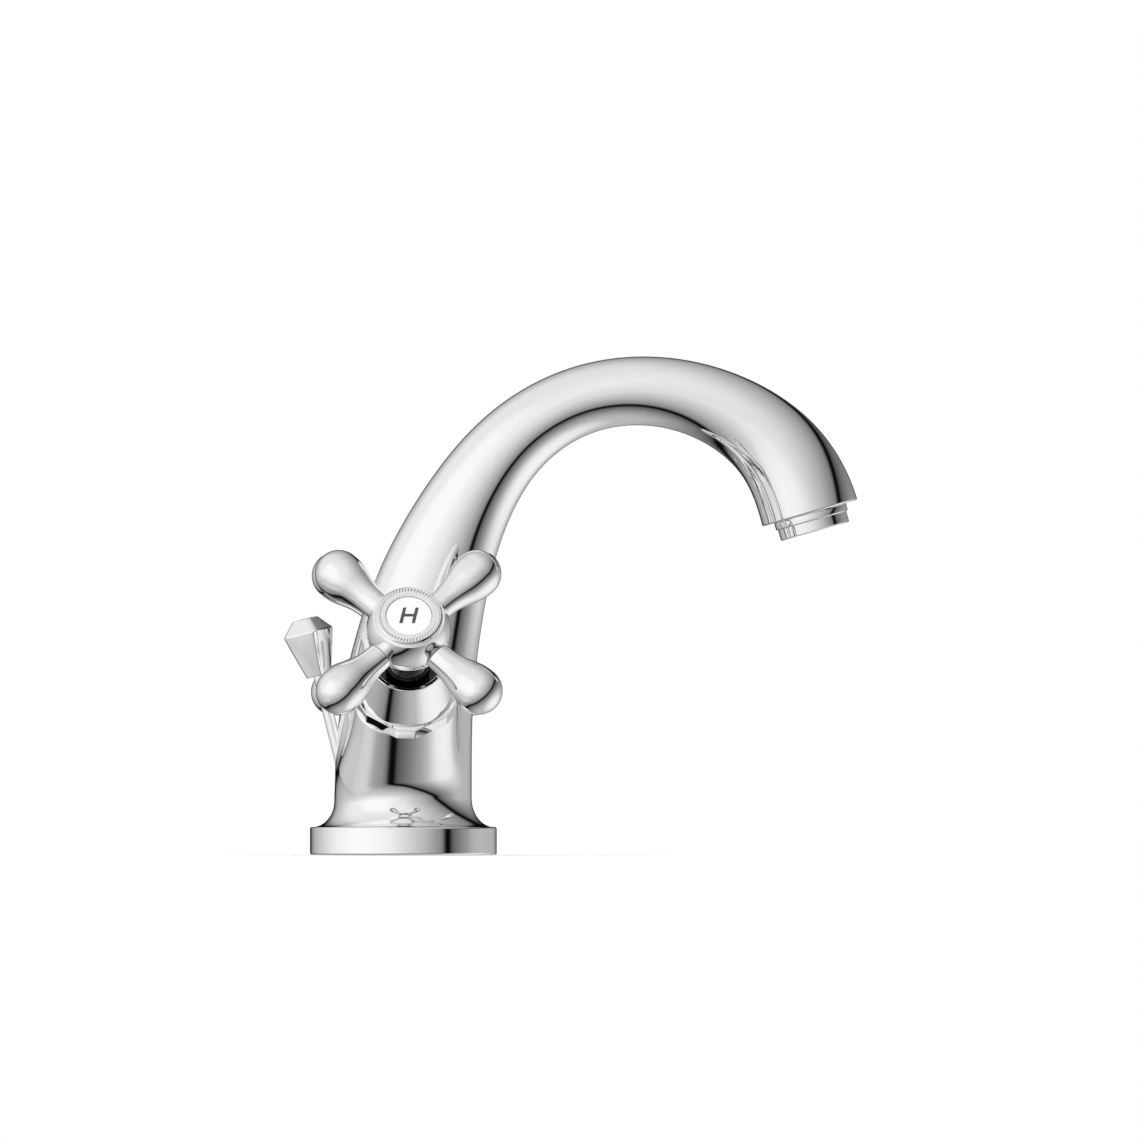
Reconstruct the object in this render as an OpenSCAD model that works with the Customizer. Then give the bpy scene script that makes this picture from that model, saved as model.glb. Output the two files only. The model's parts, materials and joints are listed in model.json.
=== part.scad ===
// Basin mixer tap: one-piece swan-neck casting, two quarter-turn cross
// handles on raked headworks, aerator and pop-up waste lift rod.
// +X is the way the spout reaches, +Z is up, the hot side is -Y, and the
// origin is the middle of the base face that sits on the basin.

/* [Base and column] */
// Diameter of the base flange
base_d = 60; // [56:1:66]
// Height of the straight rim of the base flange
rim_h = 8.8; // [7:0.2:10]
// Diameter of the column
column_d = 43.6; // [42:0.2:46]
// Height at which the flare has become the column
flare_top = 18; // [16:1:20]
// Height at which the column hands over to the swan neck
column_top = 30; // [28:1:32]

/* [Valve sockets] */
// Place of the valve axes along X
valve_x = 0.9; // [0:0.1:3]
// Offset of each valve axis from the middle plane at that height
valve_y = 4; // [3.5:0.1:5]
// Height at which the offset is measured
valve_z = 37.9; // [36:0.1:40]
// Angle of each valve axis above the horizontal
valve_rise = 32.5; // [30:0.5:35]
// Diameter of each socket boss
boss_d = 30.8; // [30:0.2:32]
// How much wider than high the face of each boss is
boss_wide = 1.08; // [1:0.02:1.2]
// Distance along the valve axis to the face of each boss
boss_l = 24.2; // [23.5:0.1:25]
// Diameter of the threaded spigot that takes the bonnet
spigot_d = 28; // [27:0.5:28]
// Bore that takes the thread of the headwork
headwork_d = 21; // [20.5:0.1:21.5]

/* [Bonnet] */
// Width across the flats of the bonnet's hexagon
hex_af = 31.8; // [31:0.2:33]
// Width across the flats that cut its corners
hex_corner_af = 33.2; // [32:0.2:35]
// Thickness of the hexagon
hex_h = 4.6; // [4:0.1:5]
// Diameter of the cone above the hexagon
cone_d1 = 30.4; // [30:0.2:31]
// Diameter of the cone at its open rim
cone_d2 = 24.2; // [23.5:0.1:25]
// Distance along the valve axis to the open rim
cone_end = 45.2; // [44:0.2:46]
// Wall of the cone
cone_wall = 1.3; // [1:0.1:1.5]

/* [Cross handle] */
// Distance along the valve axis to the underside of the hub
hub_low = 54.4; // [53:0.2:55]
// Diameter of the ball of the hub
hub_d = 26.9; // [26:0.1:27.5]
// Distance along the valve axis to the centre of the hub's ball
hub_c = 62.5; // [62:0.1:63]
// Distance along the valve axis to the plane of the arms
arm_t = 61; // [60.5:0.1:61.5]
// Distance from the valve axis to the inner end of an arm
arm_in = 12.3; // [12:0.1:12.6]
// Distance from the valve axis to the centre of an arm's ball end
arm_c = 31.2; // [30:0.2:32]
// Diameter of an arm's ball end
arm_ball_d = 15.2; // [14.5:0.1:15.8]
// Opening angle of each quarter-turn valve shown in the model
handle_turn = 0; // [0:5:90]

/* [Swan neck outlet] */
// Reach of the outlet's centre from the column's axis
outlet_x = 129.8; // [128:0.1:131]
// Height of the outlet's centre above the basin
outlet_z = 109; // [108:0.1:110]
// Angle of the water jet from the vertical
outlet_tip = 15.75; // [15:0.25:16.5]
// Diameter of the outlet face
outlet_d = 31.5; // [31:0.1:32]
// Diameter of the aerator's thread
aerator_d = 23.8; // [23.6:0.1:24]

/* [Lift rod] */
// Where the rod's axis meets the base face
rod_x = -12.7; // [-13:0.1:-12.5]
// Lean of the rod from the vertical
rod_tilt = 14; // [13.5:0.1:14.5]
// Diameter of the rod
rod_d = 3.6; // [3.4:0.1:3.8]
// Distance along the rod from the base face to the knob
knob_s = 58.8; // [58:0.2:60]
// Lift of the rod shown in the model
rod_lift = 0; // [0:1:20]

/* [Hidden] */
chrome = [0.82, 0.83, 0.86];
brass = [0.78, 0.64, 0.36];
porcelain = [0.95, 0.94, 0.92];
ceramic = [0.9, 0.88, 0.84];
rubber = [0.12, 0.12, 0.13];
plastic = [0.86, 0.87, 0.88];
steel = [0.6, 0.61, 0.63];

$fn = 64;

// Rows of the swan neck: x, z, radius as seen from the side, radius
// across, radius of the waterway. The neck is slimmer across where it
// passes between the valves. The first and the last row only set the
// direction of the ends.
NECK = [
    [0, 12, 21.5, 21.5, 7],
    [0, 25, 21.5, 21.5, 7],
    [0.4, 40, 21.5, 20.8, 7],
    [2, 55, 20.8, 17.6, 7.5],
    [5, 70, 19.3, 13.9, 8],
    [9.5, 86, 17.6, 13, 8.5],
    [15.5, 102, 15.5, 12.8, 8.5],
    [24, 117.5, 13.8, 12.6, 8],
    [36, 132.4, 12.2, 11.9, 7.8],
    [50.5, 142.4, 11.1, 11.4, 7.4],
    [67.5, 147.4, 10.9, 11.2, 7.3],
    [85, 147.3, 11.3, 11.5, 7.6],
    [101.5, 142.3, 12.1, 12.2, 8],
    [114.5, 134, 13.4, 13.4, 8.8],
    [123, 124.3, 14.9, 14.9, 9.4],
    [129.8, 109, 15.75, 15.75, 9.4],
    [133.4, 96, 16, 16, 9.4]];

// ---- curves ---------------------------------------------------------

// Catmull-Rom value between p[1] and p[2]
function cr(p, u) = 0.5 * (2 * p[1] + (p[2] - p[0]) * u
    + (2 * p[0] - 5 * p[1] + 4 * p[2] - p[3]) * u * u
    + (3 * p[1] - p[0] - 3 * p[2] + p[3]) * u * u * u);
// Row of the neck at parameter s, 1 at the second row of the table
function row(s) = let (i = min(floor(s), len(NECK) - 3), u = s - i)
    cr([NECK[i - 1], NECK[i], NECK[i + 1], NECK[i + 2]], u);
// Lean of the neck's centre line at s, 0 upright, 180 straight down
function lean(s) = s >= len(NECK) - 2 ? 180 - outlet_tip
    : let (a = row(s - (s > 1 ? 0.02 : 0)), b = row(s + 0.02))
    atan2(b[0] - a[0], b[1] - a[1]);
// Closed tube of m + 1 rings of n points from s0 to s1, with its radii in
// columns k (seen from the side) and l (across)
function ring(s, n, k, l) = let (q = row(s), a = lean(s))
    [for (j = [0:n - 1]) let (c = q[k] * cos(360 * j / n),
        d = q[l] * sin(360 * j / n))
        [q[0] + c * cos(a), d, q[1] - c * sin(a)]];
module neck_tube(s0, s1, m, n, k, l) {
    pts = [for (i = [0:m]) each ring(s0 + (s1 - s0) * i / m, n, k, l)];
    polyhedron(points = pts, faces = concat(
        [[for (j = [0:n - 1]) j]],
        [for (i = [0:m - 1]) for (j = [0:n - 1])
            [i * n + j, (i + 1) * n + j, (i + 1) * n + (j + 1) % n]],
        [for (i = [0:m - 1]) for (j = [0:n - 1])
            [i * n + j, (i + 1) * n + (j + 1) % n, i * n + (j + 1) % n]],
        [[for (j = [n - 1:-1:0]) m * n + j]]), convexity = 6);
}

// ---- places ---------------------------------------------------------

// Local +Z runs out along the hot valve axis, local +X stays +X
module hot_side() translate([valve_x, -valve_y, valve_z])
    rotate([90 - valve_rise, 0, 0]) children();
module cold_side() mirror([0, 1, 0]) hot_side() children();
module side(s) { if (s == "hot") hot_side() children();
    else cold_side() children(); }
// Pieces that turn with the handle
module turned(s) side(s) rotate([0, 0, handle_turn]) children();
// Local +Z runs up into the outlet, z = 0 is the outlet face
module at_outlet() translate([outlet_x, 0, outlet_z])
    rotate([0, -outlet_tip, 0]) children();
// Local +Z runs up the lift rod
module at_rod() translate([rod_x, 0, 0]) rotate([0, -rod_tilt, 0])
    children();
// Ring between two radii and two heights
module ring_solid(r0, r1, z0, z1) rotate_extrude()
    polygon([[r0, z0], [r1, z0], [r1, z1], [r0, z1]]);
// Round-section ring
module o_ring(r, sect, z) translate([0, 0, z]) rotate_extrude()
    translate([r, 0]) circle(r = sect, $fn = 32);

// ---- body -----------------------------------------------------------

// Points of the concave flare from the rim up to the column
function flare() = let (rb = base_d / 2 - 1, rc = column_d / 2,
    w = rb - rc, h = flare_top - rim_h)
    [for (i = [0:10]) let (a = 9 * i)
        [rc + w * (1 - sin(a)), rim_h + h * (1 - cos(a))]];

// Branch that grows out of the column and ends in the face of a boss
module branch() hull() {
    translate([0, 0, 18.8]) cylinder(d = column_d - 0.4, h = 1, $fn = 48);
    translate([0, -2.8, 37]) cylinder(d = column_d - 1, h = 1, $fn = 48);
    hot_side() translate([0, 0, boss_l - 1]) scale([boss_wide, 1, 1])
        cylinder(d = boss_d, h = 1, $fn = 48);
}

module body_casting() color(chrome) difference() {
    union() {
        rotate_extrude() polygon(concat(
            [[0, 0], [base_d / 2 - 0.6, 0], [base_d / 2, 0.6],
             [base_d / 2, rim_h - 1.2], [base_d / 2 - 0.3, rim_h - 0.4]],
            flare(), [[column_d / 2, column_top], [0, column_top]]));
        branch();
        mirror([0, 1, 0]) branch();
        neck_tube(1, len(NECK) - 2, 30, 28, 2, 3);
        for (s = ["hot", "cold"]) side(s)
            cylinder(d = spigot_d, h = boss_l + 4.5);
    }
    // waterway up the neck and the thread and shoulder of the outlet
    neck_tube(3.6, len(NECK) - 2.25, 26, 16, 4, 4);
    at_outlet() translate([0, 0, -2]) cylinder(d = aerator_d + 0.1, h = 11.6);
    at_outlet() translate([0, 0, 4]) cylinder(r = 9.4, h = 12);
    // mixing chamber that both valves empty into
    translate([valve_x, 0, 47]) cylinder(r = 7, h = 14);
    translate([valve_x, -12, 51]) rotate([-90, 0, 0])
        cylinder(r = 4.5, h = 24);
    // sockets, seats and inlet galleries
    for (s = ["hot", "cold"]) side(s) {
        translate([0, 0, 8]) cylinder(r = 9.6, h = 14);
        translate([0, 0, 20]) cylinder(d = headwork_d, h = 12);
        translate([0, 0, 5]) cylinder(r = 4.5, h = 5);
    }
    for (s = [-1, 1]) {
        translate([valve_x, s * 10, -1]) cylinder(r = 4.5, h = 13);
        translate([valve_x, s * 9.8, 8]) cylinder(r = 3.2, h = 34);
    }
    // threaded hole for the fixing stud
    translate([14, 0, -1]) cylinder(r = 3.4, h = 17);
    // passage of the lift rod and the socket of its bush
    at_rod() translate([0, 0, -8]) cylinder(r = rod_d / 2 + 0.4, h = 70);
    at_rod() translate([0, 0, -8]) cylinder(r = 3.4, h = 20);
    // groove of the base seal
    translate([0, 0, -1]) ring_solid(24, 27, 0, 2.6);
}

module base_seal_ring() color(rubber) rotate_extrude()
    polygon([[24, 0.2], [24.2, 0], [26.8, 0], [27, 0.2], [27, 1.6],
        [24, 1.6]]);

module rod_guide_bush() color(plastic) intersection() {
    at_rod() ring_solid(rod_d / 2 + 0.05, 3.4, 0, 12);
    translate([-30, -10, 0.4]) cube([30, 20, 20]);
}

// ---- aerator --------------------------------------------------------

module aerator_housing() color(chrome) at_outlet() rotate_extrude()
    polygon([[8.8, -6.1], [11, -6.1], [11.3, -5.8], [11.3, -2.6],
        [aerator_d / 2 - 0.2, -2.4], [aerator_d / 2, -2.2],
        [aerator_d / 2, 8], [9.8, 8], [9.8, -4.8], [8.8, -5]]);

module aerator_insert() color(plastic) at_outlet() difference() {
    translate([0, 0, -4.8]) cylinder(r = 9.75, h = 8.8);
    for (k = [[1, 0, 0], [6, 3.2, 0], [12, 6.4, 15]]) for (i = [1:k[0]])
        rotate([0, 0, i * 360 / k[0] + k[2]])
            translate([k[1], 0, -6]) cylinder(r = 1.25, h = 12, $fn = 16);
}

module aerator_mesh() color(steel) at_outlet() difference() {
    translate([0, 0, 4]) cylinder(r = 9.75, h = 0.5);
    for (k = [[1, 0], [6, 2.4], [12, 4.8], [18, 7.2]]) for (i = [1:k[0]])
        rotate([0, 0, i * 360 / k[0]])
            translate([k[1], 0, 3]) cylinder(r = 0.8, h = 3, $fn = 16);
}

module aerator_washer() color(rubber) at_outlet()
    ring_solid(8.4, 11.8, 8, 9.6);

// ---- lift rod -------------------------------------------------------

module lift_rod() color(chrome) translate(rod_lift * [-sin(rod_tilt), 0,
    cos(rod_tilt)]) at_rod() union() {
        translate([0, 0, 2]) cylinder(d = rod_d, h = knob_s + 5);
        translate([0, 0, 1.4]) cylinder(d1 = rod_d - 1, d2 = rod_d, h = 0.6);
    }

// Square lantern, widest at the rim below its little roof
module lift_knob() color(chrome) translate(rod_lift * [-sin(rod_tilt), 0,
    cos(rod_tilt)]) at_rod() translate([0, 0, knob_s])
    rotate([0, 0, -76]) difference() {
        union() {
            cylinder(r1 = 4.1, r2 = 8.3, h = 14.2, $fn = 4);
            translate([0, 0, 14.2])
                cylinder(r1 = 8.3, r2 = 4.1, h = 4.5, $fn = 4);
        }
        translate([0, 0, -1]) cylinder(d = rod_d, h = 6);
    }

// ---- bonnet and headwork --------------------------------------------

module bonnet(s) color(chrome) side(s) difference() {
    union() {
        translate([0, 0, boss_l]) intersection() {
            rotate([0, 0, 28]) cylinder(d = hex_af / cos(30), h = hex_h,
                $fn = 6);
            rotate([0, 0, 58]) cylinder(d = hex_corner_af / cos(30),
                h = hex_h, $fn = 6);
        }
        rotate_extrude() polygon([[12, boss_l + 1],
            [cone_d1 / 2 + 0.5, boss_l + 1],
            [cone_d1 / 2 + 0.5, boss_l + hex_h - 0.2],
            [cone_d1 / 2, boss_l + hex_h + 0.3],
            [cone_d2 / 2, cone_end - 0.3], [cone_d2 / 2 - 0.3, cone_end],
            [cone_d2 / 2 - cone_wall, cone_end]]);
    }
    // thread on the spigot, then the hollow of the cone
    translate([0, 0, boss_l - 1]) cylinder(d = spigot_d, h = hex_h + 1);
    rotate_extrude() polygon([[0, boss_l - 1], [13, boss_l - 1],
        [13.8, boss_l + hex_h], [cone_d2 / 2 - cone_wall, cone_end - 0.6],
        [cone_d2 / 2 - cone_wall, cone_end + 1], [0, cone_end + 1]]);
}

// Brass shell that screws into the socket and holds the discs
module headwork(s) color(brass) side(s) difference() {
    union() {
        translate([0, 0, 8.6]) cylinder(r = 9.3, h = 12.4);
        translate([0, 0, 20.6]) cylinder(d = headwork_d, h = 9.9);
        translate([0, 0, 30.3]) rotate([0, 0, 28])
            cylinder(d = 22 / cos(30), h = 3.4, $fn = 6);
        translate([0, 0, 33]) cylinder(r = 7, h = 10);
    }
    translate([0, 0, 8]) cylinder(r = 8.1, h = 11.2);
    translate([0, 0, 18]) cylinder(r = 4.55, h = 26);
    // two windows that let the water out to the chamber
    for (a = [0, 90]) rotate([0, 0, a])
        translate([-12, -3.5, 16]) cube([24, 7, 3]);
}

module headwork_washer(s) color(rubber) side(s)
    ring_solid(10.6, 13, boss_l + 4.5, 30.3);

module seat_seal(s) color(rubber) side(s) ring_solid(5.2, 8, 8, 10.2);

// Ceramic disc with two opposite ports
module disc(r, z0, z1, turn) difference() {
    translate([0, 0, z0]) cylinder(r = r, h = z1 - z0);
    for (a = [0, 180]) rotate([0, 0, a + turn])
        translate([4, 0, z0 - 1]) cylinder(r = 2.2, h = z1 - z0 + 2);
}

module fixed_disc(s) color(ceramic) side(s) disc(8.05, 10.2, 13.2, 0);

module moving_disc(s) color(ceramic) turned(s) difference() {
    disc(7.8, 13.22, 16.2, 90);
    // slot for the driver of the spindle
    translate([-1.5, -3, 15.2]) cube([3, 6, 2]);
}

module spindle(s) color(brass) turned(s) difference() {
    union() {
        translate([-1.4, -2.9, 15.25]) cube([2.8, 5.8, 2]);
        translate([0, 0, 16.2]) cylinder(r = 6.8, h = 2.7);
        translate([0, 0, 18]) cylinder(r = 4.5, h = 28);
        translate([0, 0, 45]) cylinder(r = 4, h = 18.4);
    }
    for (z = [28, 33.5]) ring_solid(3.4, 5, z - 0.9, z + 0.9);
    ring_solid(3.8, 5, 43.3, 44.1);
    translate([0, 0, 52]) cylinder(r = 2.5, h = 12);
}

module spindle_seals(s) color(rubber) turned(s) {
    o_ring(3.96, 0.54, 28);
    o_ring(3.96, 0.54, 33.5);
}

module spindle_clip(s) color(steel) turned(s) difference() {
    ring_solid(3.8, 6.2, 43.32, 44.08);
    translate([2, -1, 43]) cube([8, 2, 2]);
}

// ---- cross handle ---------------------------------------------------

function hub_r(t) = sqrt(pow(hub_d / 2, 2) - pow(t - hub_c, 2));

module hub(s) color(chrome) turned(s) difference() {
    rotate_extrude() polygon(concat([[0, hub_low]],
        [[hub_r(hub_low) - 0.4, hub_low]],
        [for (i = [0:14]) let (t = hub_low + 0.4
            + (69.6 - hub_low - 0.4) * i / 14) [hub_r(t), t]],
        [[0, 69.6]]));
    // spline, web with the screw hole, and the threaded cap recess
    translate([0, 0, hub_low - 1]) cylinder(r = 4.02, h = 63.5 - hub_low + 1);
    translate([0, 0, 60]) cylinder(r = 2.7, h = 8);
    translate([0, 0, 65.5]) cylinder(r = 8, h = 6);
    // seats and threaded holes of the arms
    for (k = [0:3]) translate([0, 0, arm_t]) rotate([0, 0, 45 + 90 * k])
        rotate([0, 90, 0]) {
            translate([0, 0, arm_in]) cylinder(r = 5, h = 6);
            translate([0, 0, 6.6]) cylinder(r = 2.5, h = 8);
        }
}

// Outline of an arm: distance from the valve axis, radius
ARM = [[12.3, 0], [12.3, 3.9], [12.6, 4.35], [13.2, 4.55], [15, 4.6],
    [17, 4.7], [19, 5], [21, 5.5], [23, 6.1], [25, 6.75], [27, 7.25],
    [29, 7.55], [31.2, 7.6], [33, 7.3], [34.6, 6.7], [36, 5.8],
    [37.2, 4.6], [38.1, 3.2], [38.6, 1.6], [38.8, 0]];

module arm(s, k) color(chrome) turned(s) translate([0, 0, arm_t])
    rotate([0, 0, 45 + 90 * (k - 1)]) rotate([0, 90, 0]) {
        rotate_extrude() polygon([for (p = ARM) [p[1]
            * arm_ball_d / 15.2, p[0]]]);
        translate([0, 0, 7]) cylinder(r = 2.5, h = 6);
    }

module handle_screw(s) color(steel) turned(s) difference() {
    union() {
        translate([0, 0, 53]) cylinder(r = 2.5, h = 13);
        translate([0, 0, 65.5]) cylinder(r = 4.4, h = 2.8);
    }
    translate([-3.4, -0.5, 67.2]) cube([6.8, 1, 2]);
    translate([-0.5, -3.4, 67.2]) cube([1, 6.8, 2]);
}

module index_ring(s) color(chrome) turned(s) union() {
    rotate_extrude() polygon([[6.4, 66.6], [8, 66.6], [8, 69.6],
        [10.6, 69.6], [10.75, 69.75], [10.75, 70.1], [10.4, 70.6],
        [9.3, 71.1], [8.6, 71.25], [7.6, 71.2], [7.35, 71],
        [7.35, 69.3], [6.4, 69.3]]);
    // rope bead around the cap
    for (i = [0:35]) rotate([0, 0, 10 * i]) translate([9.8, 0, 70.75])
        sphere(r = 0.45, $fn = 24);
}

module index_disc(s) color(porcelain) turned(s) rotate_extrude()
    polygon([[0, 69.3], [7.3, 69.3], [7.3, 70.5], [7, 70.75], [0, 70.95]]);

// ---- nodes ----------------------------------------------------------

body_casting();
base_seal_ring();
aerator_housing();
aerator_insert();
aerator_mesh();
aerator_washer();
rod_guide_bush();
lift_rod();
lift_knob();
bonnet("hot");  // hot_bonnet
headwork("hot");  // hot_headwork
headwork_washer("hot");  // hot_headwork_washer
seat_seal("hot");  // hot_seat_seal
fixed_disc("hot");  // hot_fixed_disc
moving_disc("hot");  // hot_moving_disc
spindle("hot");  // hot_spindle
spindle_seals("hot");  // hot_spindle_seals
spindle_clip("hot");  // hot_spindle_clip
hub("hot");  // hot_hub
arm("hot", 1);  // hot_arm_1
arm("hot", 2);  // hot_arm_2
arm("hot", 3);  // hot_arm_3
arm("hot", 4);  // hot_arm_4
handle_screw("hot");  // hot_handle_screw
index_ring("hot");  // hot_index_ring
index_disc("hot");  // hot_index_disc
bonnet("cold");  // cold_bonnet
headwork("cold");  // cold_headwork
headwork_washer("cold");  // cold_headwork_washer
seat_seal("cold");  // cold_seat_seal
fixed_disc("cold");  // cold_fixed_disc
moving_disc("cold");  // cold_moving_disc
spindle("cold");  // cold_spindle
spindle_seals("cold");  // cold_spindle_seals
spindle_clip("cold");  // cold_spindle_clip
hub("cold");  // cold_hub
arm("cold", 1);  // cold_arm_1
arm("cold", 2);  // cold_arm_2
arm("cold", 3);  // cold_arm_3
arm("cold", 4);  // cold_arm_4
handle_screw("cold");  // cold_handle_screw
index_ring("cold");  // cold_index_ring
index_disc("cold");  // cold_index_disc
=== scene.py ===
import json
import math

import bpy
import bmesh
import numpy as np
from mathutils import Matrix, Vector

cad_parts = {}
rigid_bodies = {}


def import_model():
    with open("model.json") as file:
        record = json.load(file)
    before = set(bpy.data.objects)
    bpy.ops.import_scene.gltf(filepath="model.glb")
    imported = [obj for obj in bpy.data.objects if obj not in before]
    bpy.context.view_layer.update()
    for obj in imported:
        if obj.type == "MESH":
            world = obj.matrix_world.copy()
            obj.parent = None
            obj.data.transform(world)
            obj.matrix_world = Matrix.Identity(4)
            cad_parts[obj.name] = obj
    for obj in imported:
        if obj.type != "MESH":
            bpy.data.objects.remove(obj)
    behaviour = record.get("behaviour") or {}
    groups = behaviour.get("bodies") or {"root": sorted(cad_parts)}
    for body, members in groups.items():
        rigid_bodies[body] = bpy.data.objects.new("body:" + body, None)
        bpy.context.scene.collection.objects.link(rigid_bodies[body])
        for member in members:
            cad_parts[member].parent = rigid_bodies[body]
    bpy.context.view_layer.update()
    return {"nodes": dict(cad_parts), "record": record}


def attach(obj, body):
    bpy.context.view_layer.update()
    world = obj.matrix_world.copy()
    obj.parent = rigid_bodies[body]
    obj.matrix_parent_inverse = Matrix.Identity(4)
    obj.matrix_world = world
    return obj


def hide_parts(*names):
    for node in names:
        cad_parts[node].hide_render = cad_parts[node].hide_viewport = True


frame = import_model()
MM = 0.001
scene = bpy.context.scene


# ---------------------------------------------------------------- helpers
def unit(v):
    v = np.asarray(v, float)
    return v / np.maximum(np.linalg.norm(v, axis=-1, keepdims=True), 1e-12)


class Shape:
    """Vertices in mm, faces, a normal for each vertex, and faces that stay flat."""

    def __init__(self):
        self.v, self.n, self.f, self.flat = [], [], [], []

    def add(self, v, n):
        start = sum(len(a) for a in self.v)
        self.v.append(np.asarray(v, float).reshape(-1, 3))
        self.n.append(np.asarray(n, float).reshape(-1, 3))
        return start + np.arange(len(self.v[-1]))

    def face(self, f, flat=False):
        self.f.append([int(i) for i in f])
        self.flat.append(flat)

    def strip(self, a, b, flat=False):
        """Quads between two closed rings of the same length."""
        n = len(a)
        for j in range(n):
            k = (j + 1) % n
            self.face((a[j], a[k], b[k], b[j]), flat)


def to_object(name, V, F, N=None, flat=None, mat=None, body=None,
              replaces=(), flip=False):
    """Mesh object from points in mm, with the given normals as its own."""
    V = np.asarray(V, float)
    if flip:
        F = [list(reversed(f)) for f in F]
    me = bpy.data.meshes.new(name)
    me.from_pydata((V * MM).tolist(), [], [list(f) for f in F])
    me.update()
    me.polygons.foreach_set("use_smooth", [True] * len(me.polygons))
    loops = np.zeros(len(me.loops), np.int32)
    me.loops.foreach_get("vertex_index", loops)
    if N is None:
        N = weighted_normals(V, F)
    LN = unit(N)[loops]
    if flat is not None and any(flat):
        pn = np.zeros(len(me.polygons) * 3)
        me.polygons.foreach_get("normal", pn)
        pn = pn.reshape(-1, 3)
        sizes = np.array([len(f) for f in F])
        owner = np.repeat(np.arange(len(F)), sizes)
        fl = np.asarray(flat, bool)[owner]
        LN[fl] = pn[owner[fl]]
    me.normals_split_custom_set(LN.tolist())
    o = bpy.data.objects.new(name, me)
    scene.collection.objects.link(o)
    if mat:
        me.materials.append(mat)
    if replaces:
        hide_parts(*replaces)
    if body:
        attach(o, body)
    return o


def weighted_normals(V, F):
    """Vertex normals weighted by the area of the faces round them."""
    V = np.asarray(V, float)
    N = np.zeros_like(V)
    byn = {}
    for f in F:
        byn.setdefault(len(f), []).append(f)
    for k, fs in byn.items():
        fs = np.asarray(fs, int)
        P = V[fs]
        n = np.zeros((len(fs), 3))
        for i in range(1, k - 1):
            n += np.cross(P[:, i] - P[:, 0], P[:, i + 1] - P[:, 0])
        for i in range(k):
            np.add.at(N, fs[:, i], n)
    return unit(N)


def fillet(points, step=12.0):
    """Outline points (r, z, radius) to a dense outline with rounded corners."""
    out = []
    m = len(points)
    for i, (r, z, rad) in enumerate(points):
        p = np.array([r, z], float)
        if rad <= 0 or i == 0 or i == m - 1:
            out.append(p)
            continue
        a = unit(np.array(points[i - 1][:2], float) - p)
        b = unit(np.array(points[i + 1][:2], float) - p)
        half = math.acos(max(-1, min(1, float(a @ b)))) / 2
        if half > math.pi / 2 - 0.01:
            out.append(p)
            continue
        cut = rad / math.tan(half)
        centre = p + unit(a + b) * rad / math.sin(half)
        s, e = p + a * cut - centre, p + b * cut - centre
        turn = math.pi - 2 * half
        k = max(2, int(math.ceil(math.degrees(turn) / step)))
        for j in range(k + 1):
            w = j / k
            d = s * math.sin((1 - w) * turn) + e * math.sin(w * turn)
            out.append(centre + d / math.sin(turn) if turn > 1e-3 else centre + s)
    return np.array(out)


def lathe(outline, n, closed=False, caps=(False, False)):
    """Revolved outline (r, z): vertices and faces, axis +Z, outward normals
    when the outline runs anticlockwise seen with r to the right."""
    ang = np.arange(n) * 2 * math.pi / n
    c, s = np.cos(ang), np.sin(ang)
    V, rings, F = [], [], []
    count = 0
    for r, z in outline:
        if r < 1e-6:
            V.append([[0, 0, z]])
            rings.append([count])
            count += 1
        else:
            V.append(np.stack([r * c, r * s, np.full(n, z)], 1))
            rings.append(list(range(count, count + n)))
            count += n
    pairs = list(zip(range(len(rings) - 1), range(1, len(rings))))
    if closed:
        pairs.append((len(rings) - 1, 0))
    for a, b in pairs:
        A, B = rings[a], rings[b]
        for j in range(n):
            k = (j + 1) % n
            if len(A) == 1 and len(B) == 1:
                continue
            if len(A) == 1:
                F.append([A[0], B[k], B[j]])
            elif len(B) == 1:
                F.append([A[j], A[k], B[0]])
            else:
                F.append([A[j], A[k], B[k], B[j]])
    return np.vstack([np.asarray(v, float) for v in V]), F


class Place:
    """A right-handed place in the frame, in mm, and its mirror image in Y."""

    def __init__(self, o, ex, ey, ez, mirror=False):
        self.o = np.asarray(o, float)
        self.m = np.stack([unit(ex), unit(ey), unit(ez)], 0)
        self.mirror = mirror

    def __call__(self, V):
        W = np.asarray(V, float) @ self.m + self.o
        if self.mirror:
            W = W * np.array([1, -1, 1])
        return W


def nodes_of(name):
    m = bpy.data.materials.new(name)
    m.use_nodes = True
    nt = m.node_tree
    bsdf = nt.nodes["Principled BSDF"]
    return m, nt, bsdf


def coords(nt, scale=1.0):
    tc = nt.nodes.new("ShaderNodeTexCoord")
    mp = nt.nodes.new("ShaderNodeMapping")
    mp.inputs["Scale"].default_value = (scale, scale, scale)
    nt.links.new(tc.outputs["Object"], mp.inputs["Vector"])
    return mp.outputs["Vector"]


def noise(nt, vec, scale, detail=3.0, rough=0.55):
    t = nt.nodes.new("ShaderNodeTexNoise")
    t.inputs["Scale"].default_value = scale
    t.inputs["Detail"].default_value = detail
    t.inputs["Roughness"].default_value = rough
    nt.links.new(vec, t.inputs["Vector"])
    return t.outputs["Fac"]


def ramp(nt, fac, lo, hi, a=0.0, b=1.0):
    r = nt.nodes.new("ShaderNodeMapRange")
    r.inputs["From Min"].default_value = a
    r.inputs["From Max"].default_value = b
    r.inputs["To Min"].default_value = lo
    r.inputs["To Max"].default_value = hi
    nt.links.new(fac, r.inputs["Value"])
    return r.outputs["Result"]


def bump(nt, bsdf, fac, strength, distance):
    b = nt.nodes.new("ShaderNodeBump")
    b.inputs["Strength"].default_value = strength
    b.inputs["Distance"].default_value = distance
    nt.links.new(fac, b.inputs["Height"])
    nt.links.new(b.outputs["Normal"], bsdf.inputs["Normal"])


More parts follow.
